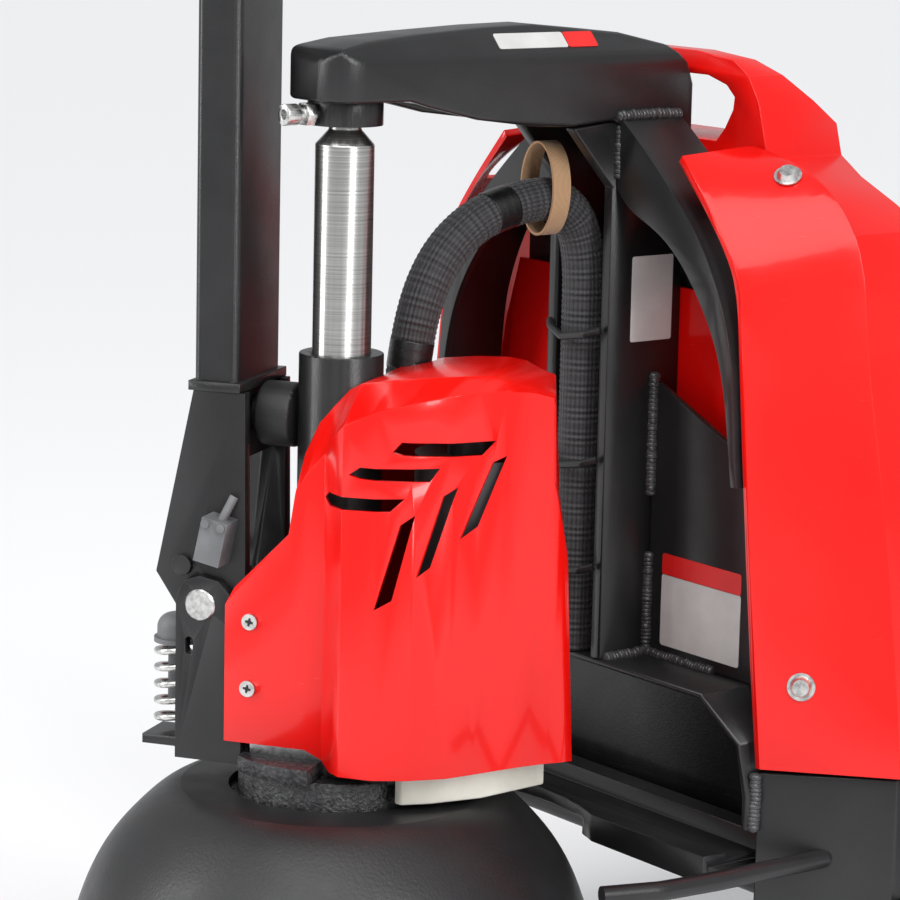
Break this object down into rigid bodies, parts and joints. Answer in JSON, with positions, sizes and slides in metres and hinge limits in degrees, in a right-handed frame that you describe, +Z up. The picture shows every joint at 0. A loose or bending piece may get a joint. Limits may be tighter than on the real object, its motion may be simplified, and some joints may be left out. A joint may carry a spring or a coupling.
{
  "type": "electric pallet truck",
  "caption": "Walk-behind electric pallet truck with raised forks, steered drive unit, upright lift rod, tiller and red covers.",
  "frame": {"origin": "centre of the truck's box at floor level, forks raised and drive unit steered", "axes": "+Y from the tiller towards the fork tips, +Z up, +X to the side of the right-hand fork seen from the tiller"},
  "size_m": [0.56, 1.638, 1.15],
  "materials": {
    "frame_black": "satin black paint over welded steel",
    "cast_black": "rough black painted casting",
    "cover_red": "glossy red moulded cover",
    "rod_steel": "ground steel rod",
    "zinc_steel": "zinc plated fasteners",
    "oil_tank_white": "milky plastic tank",
    "rubber_black": "black rubber",
    "sleeve_black": "braided cable sleeve",
    "strap_tan": "woven strap",
    "switch_grey": "grey plastic switch body",
    "plastic_black": "black moulded plastic",
    "motor_steel": "dark painted steel casing",
    "alloy": "machined alloy",
    "tyre_pu": "polyurethane tread",
    "roller_pu": "polyurethane roller",
    "battery_shell": "battery case",
    "button_red": "red button",
    "button_yellow": "yellow control"
  },
  "bodies": {
    "chassis": {"gooseneck": "frame_black", "clamp_collar": "frame_black", "collar_screw": "zinc_steel", "lift_rod": "rod_steel", "arch_frame": "frame_black", "column_plates": "frame_black", "gusset_plates": "frame_black", "recess_box": "frame_black", "cross_beam": "frame_black", "side_brackets": "frame_black", "guard_bars": "frame_black", "load_backplate": "frame_black", "bay_wall": "cover_red", "battery_tray": "frame_black", "controller": "alloy", "fork_right": "frame_black", "fork_left": "frame_black", "side_cover_right": "cover_red", "side_cover_left": "cover_red", "cover_screws": "zinc_steel", "wire_clips": "frame_black", "column_harness": "sleeve_black", "harness_strap": "strap_tan", "free_harness": "sleeve_black"},
    "battery": {"battery_case": "battery_shell", "battery_hood": "cover_red"},
    "emergency_plug": {"emergency_plug": "button_red"},
    "wheel_housing": {"thrust_ring": "cast_black", "wheel_fender": "frame_black"},
    "drive_unit": {"base_plate": "cast_black", "yoke_ears": "frame_black", "pivot_pin": "zinc_steel", "cylinder_barrel": "frame_black", "valve_block": "alloy", "oil_tank": "oil_tank_white", "pump_motor": "motor_steel", "drive_cover": "cover_red", "pan_screws": "zinc_steel", "return_spring": "zinc_steel", "drive_gearbox": "cast_black", "drive_motor": "motor_steel"},
    "spring_cap": {"spring_cap": "switch_grey"},
    "drive_wheel": {"drive_tyre": "tyre_pu", "drive_hub": "cast_black"},
    "tiller": {"tiller_side_plates": "frame_black", "tiller_tube": "frame_black", "stop_buffer": "rubber_black", "tiller_head": "plastic_black", "head_grips": "plastic_black", "charge_gauge": "switch_grey", "limit_switch": "switch_grey"},
    "throttle": {"throttle": "plastic_black"},
    "belly_button": {"belly_button": "button_red"},
    "lift_rocker": {"lift_rocker": "button_yellow"},
    "horn_button": {"horn_button": "button_yellow"},
    "rocker": {"rocker": "frame_black"},
    "push_rods": {"push_rods": "motor_steel"},
    "load_arms": {"load_arms": "frame_black"},
    "load_roller_right": {"load_roller_right": "roller_pu"},
    "load_roller_left": {"load_roller_left": "roller_pu"}
  },
  "joints": [
    {"name": "lift", "type": "slide", "parent": "chassis", "child": "wheel_housing", "axis": [0, 0, 1], "range_m": [0, 0.115], "deforming": ["free_harness"]},
    {"name": "steer", "type": "hinge", "parent": "wheel_housing", "child": "drive_unit", "pos_m": [0, -0.651, 0.262], "axis": [0, 0, 1], "range_deg": [-33.5, 146.5], "deforming": ["free_harness"]},
    {"name": "drive_wheel_spin", "type": "hinge", "parent": "drive_unit", "child": "drive_wheel", "pos_m": [0, -0.651, 0.105], "axis": [0.5519, -0.8339, 0], "continuous": true},
    {"name": "tiller_tilt", "type": "hinge", "parent": "drive_unit", "child": "tiller", "pos_m": [-0.06087, -0.69129, 0.362], "axis": [0.5519, -0.8339, 0], "range_deg": [0, 75], "stiffness_Nm_per_rad": 22, "springref_deg": -34.38},
    {"name": "spring_cap_slide", "type": "slide", "parent": "drive_unit", "child": "spring_cap", "axis": [0, 0, -1], "range_m": [0, 0.016], "deforming": ["return_spring"]},
    {"name": "rocker_turn", "type": "hinge", "parent": "chassis", "child": "rocker", "pos_m": [0, -0.389, 0.172], "axis": [1, 0, 0], "range_deg": [-29.2, 0.2]},
    {"name": "push_rods_slide", "type": "slide", "parent": "chassis", "child": "push_rods", "axis": [0, 1, 0], "range_m": [-0.0175, 0.001]},
    {"name": "load_arms_turn", "type": "hinge", "parent": "chassis", "child": "load_arms", "pos_m": [0, 0.484, 0.16], "axis": [1, 0, 0], "range_deg": [-0.5, 41.1]},
    {"name": "load_roller_right_spin", "type": "hinge", "parent": "load_arms", "child": "load_roller_right", "pos_m": [0.2, 0.61542, 0.037], "axis": [1, 0, 0], "continuous": true},
    {"name": "load_roller_left_spin", "type": "hinge", "parent": "load_arms", "child": "load_roller_left", "pos_m": [-0.2, 0.61542, 0.037], "axis": [1, 0, 0], "continuous": true},
    {"name": "battery_lift_out", "type": "slide", "parent": "chassis", "child": "battery", "axis": [0, 0, 1], "range_m": [0, 0.35]},
    {"name": "emergency_plug_pull", "type": "slide", "parent": "battery", "child": "emergency_plug", "axis": [0, 0, 1], "range_m": [0, 0.05]},
    {"name": "throttle_turn", "type": "hinge", "parent": "tiller", "child": "throttle", "pos_m": [-0.05712, -0.68881, 1.105], "axis": [0.5519, -0.8339, 0], "range_deg": [-30, 30], "stiffness_Nm_per_rad": 0.3},
    {"name": "belly_button_press", "type": "slide", "parent": "tiller", "child": "belly_button", "axis": [0, 0, -1], "range_m": [0, 0.008], "stiffness_N_per_m": 600},
    {"name": "lift_rocker_press", "type": "hinge", "parent": "tiller", "child": "lift_rocker", "pos_m": [-0.07713, -0.70205, 1.093], "axis": [0.5519, -0.8339, 0], "range_deg": [-8, 8], "stiffness_Nm_per_rad": 0.3},
    {"name": "horn_button_press", "type": "slide", "parent": "tiller", "child": "horn_button", "axis": [0.8339, 0.5519, 0], "range_m": [0, 0.003], "stiffness_N_per_m": 600}
  ],
  "couplings": [
    {"joint": "spring_cap_slide", "follows": "tiller_tilt", "m_per_rad": 0.0114},
    {"joint": "rocker_turn", "follows": "lift", "rad_per_m": -4.3944},
    {"joint": "push_rods_slide", "follows": "lift", "ratio": -0.13888},
    {"joint": "load_arms_turn", "follows": "lift", "rad_per_m": 6.1553}
  ]
}
